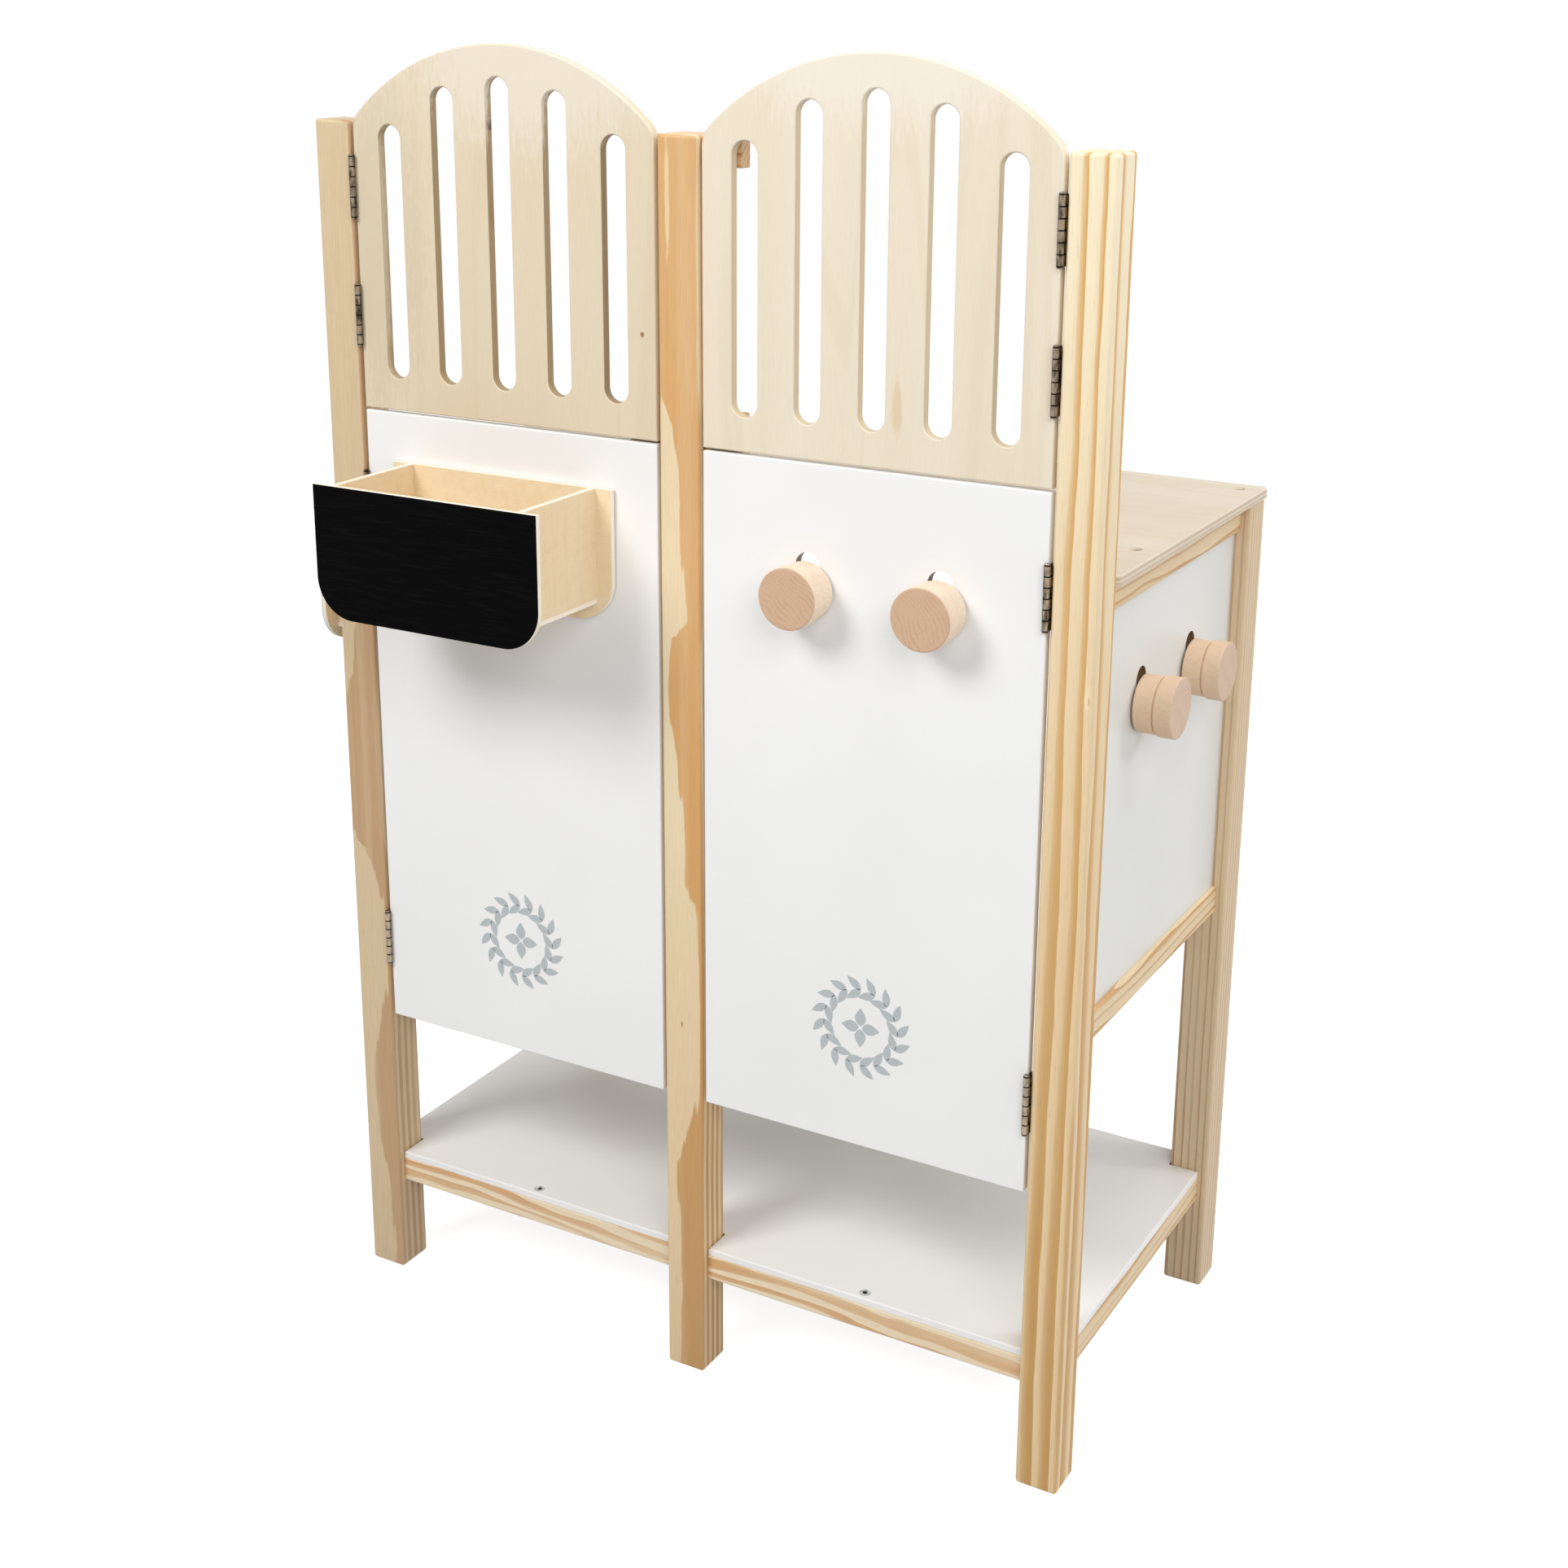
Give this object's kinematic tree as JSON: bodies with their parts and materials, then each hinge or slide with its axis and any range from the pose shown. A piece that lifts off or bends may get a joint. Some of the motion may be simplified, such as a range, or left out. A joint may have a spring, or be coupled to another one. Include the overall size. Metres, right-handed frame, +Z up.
{
  "type": "toy horse stable",
  "caption": "Wooden toy stable on square posts: arched slotted upper doors and plain lower doors on butt hinges, a top board, a shelf, and knobs and troughs that hang in keyholes.",
  "frame": {"origin": "centre of the middle front post's foot, on the floor", "axes": "+X to the right along the front, +Y to the back, +Z up; the doors open towards -Y"},
  "size_m": [0.8131, 0.4898, 1.1205],
  "materials": {
    "pine": "clear satin varnish",
    "door_ply": "satin",
    "top_ply": "satin",
    "trough_ply": "satin",
    "beech": "satin",
    "white_board": "satin white paint",
    "chalkboard": "matte black chalkboard paint",
    "hinge_steel": "nickel plated"
  },
  "bodies": {
    "frame": {"bottom_shelf": "white_board", "hinge_lower_door_bottom_left_post_leaf": "hinge_steel", "hinge_lower_door_bottom_right_post_leaf": "hinge_steel", "hinge_lower_door_top_left_post_leaf": "hinge_steel", "hinge_lower_door_top_right_post_leaf": "hinge_steel", "hinge_upper_door_bottom_left_post_leaf": "hinge_steel", "hinge_upper_door_bottom_right_post_leaf": "hinge_steel", "hinge_upper_door_top_left_post_leaf": "hinge_steel", "hinge_upper_door_top_right_post_leaf": "hinge_steel", "post_back_left": "pine", "post_back_right": "pine", "post_front_left": "pine", "post_front_middle": "pine", "post_front_right": "pine", "rail_back_bottom": "pine", "rail_back_top": "pine", "rail_front_left": "pine", "rail_front_right": "pine", "rail_side_bottom_left": "pine", "rail_side_bottom_right": "pine", "rail_side_middle_left": "pine", "rail_side_middle_right": "pine", "rail_side_top_left": "pine", "rail_side_top_right": "pine", "side_panel_left": "white_board", "side_panel_right": "white_board", "stop_split_left": "pine", "stop_split_right": "pine", "stop_top_left": "pine", "stop_top_right": "pine", "top_board": "top_ply"},
    "lower_door_left": {"hinge_lower_door_bottom_left_door_leaf": "hinge_steel", "hinge_lower_door_top_left_door_leaf": "hinge_steel", "lower_door_left": "white_board"},
    "lower_door_right": {"hinge_lower_door_bottom_right_door_leaf": "hinge_steel", "hinge_lower_door_top_right_door_leaf": "hinge_steel", "lower_door_right": "white_board"},
    "upper_door_left": {"hinge_upper_door_bottom_left_door_leaf": "hinge_steel", "hinge_upper_door_top_left_door_leaf": "hinge_steel", "upper_door_left": "door_ply"},
    "upper_door_right": {"hinge_upper_door_bottom_right_door_leaf": "hinge_steel", "hinge_upper_door_top_right_door_leaf": "hinge_steel", "upper_door_right": "door_ply"},
    "knob_door_left": {"knob_door_left": "beech"},
    "knob_door_right": {"knob_door_right": "beech"},
    "knob_side_back": {"knob_side_back": "beech"},
    "knob_side_front": {"knob_side_front": "beech"},
    "trough_door": {"trough_door_back_plate": "trough_ply", "trough_door_end_left": "trough_ply", "trough_door_end_right": "trough_ply", "trough_door_floor": "trough_ply", "trough_door_front_plate": "chalkboard", "trough_door_pegs": "beech"},
    "trough_side": {"trough_side_back_plate": "trough_ply", "trough_side_end_left": "trough_ply", "trough_side_end_right": "trough_ply", "trough_side_floor": "trough_ply", "trough_side_front_plate": "chalkboard", "trough_side_pegs": "beech"}
  },
  "joints": [
    {"name": "upper_door_left_swing", "type": "hinge", "parent": "frame", "child": "upper_door_left", "pos_m": [-0.3112, -0.0198, 0.953], "axis": [0, 0, -1], "range_deg": [0, 170]},
    {"name": "upper_door_right_swing", "type": "hinge", "parent": "frame", "child": "upper_door_right", "pos_m": [0.3112, -0.0198, 0.953], "axis": [0, 0, 1], "range_deg": [0, 170]},
    {"name": "lower_door_left_swing", "type": "hinge", "parent": "frame", "child": "lower_door_left", "pos_m": [-0.3112, -0.0198, 0.542], "axis": [0, 0, -1], "range_deg": [0, 140]},
    {"name": "lower_door_right_swing", "type": "hinge", "parent": "frame", "child": "lower_door_right", "pos_m": [0.3112, -0.0198, 0.542], "axis": [0, 0, 1], "range_deg": [0, 170]},
    {"name": "knob_door_left_lift", "type": "slide", "parent": "lower_door_right", "child": "knob_door_left", "axis": [0, 0, 1], "range_m": [0, 0.019]},
    {"name": "knob_door_right_lift", "type": "slide", "parent": "lower_door_right", "child": "knob_door_right", "axis": [0, 0, 1], "range_m": [0, 0.019]},
    {"name": "knob_side_front_lift", "type": "slide", "parent": "frame", "child": "knob_side_front", "axis": [0, 0, 1], "range_m": [0, 0.019]},
    {"name": "knob_side_back_lift", "type": "slide", "parent": "frame", "child": "knob_side_back", "axis": [0, 0, 1], "range_m": [0, 0.019]},
    {"name": "trough_door_lift", "type": "slide", "parent": "lower_door_left", "child": "trough_door", "axis": [0, 0, 1], "range_m": [0, 0.019]},
    {"name": "trough_side_lift", "type": "slide", "parent": "frame", "child": "trough_side", "axis": [0, 0, 1], "range_m": [0, 0.019]}
  ]
}
